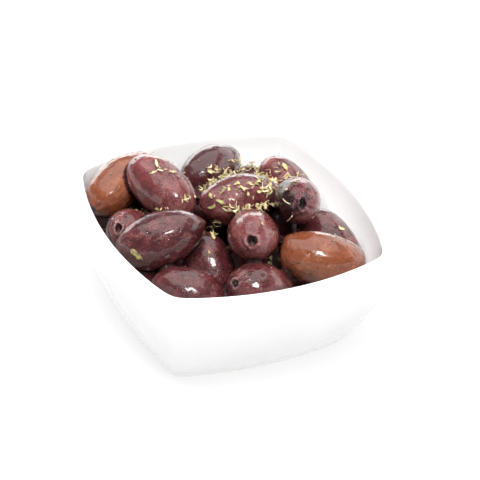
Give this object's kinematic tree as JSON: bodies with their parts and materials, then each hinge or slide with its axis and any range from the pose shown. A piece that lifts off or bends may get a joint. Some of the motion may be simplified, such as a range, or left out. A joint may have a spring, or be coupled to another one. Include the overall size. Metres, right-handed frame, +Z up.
{
  "type": "dish of olives",
  "caption": "Small square white porcelain dish with bowed sides, heaped with whole dark olives and sprinkled with dried oregano.",
  "frame": {"origin": "middle of the bowl's foot, on the surface that it stands on", "axes": "+Z up out of the bowl, +X and +Y towards the middles of two sides of the square"},
  "size_m": [0.09, 0.09, 0.0535],
  "materials": {
    "porcelain": "clear glossy glaze, plain white",
    "olive_skin": "oiled skin, mottled dark plum to brown",
    "oregano": "dry leaf flakes, straw to grey green"
  },
  "bodies": {
    "root": {"bowl": "porcelain", "olives": "olive_skin"}
  },
  "joints": []
}
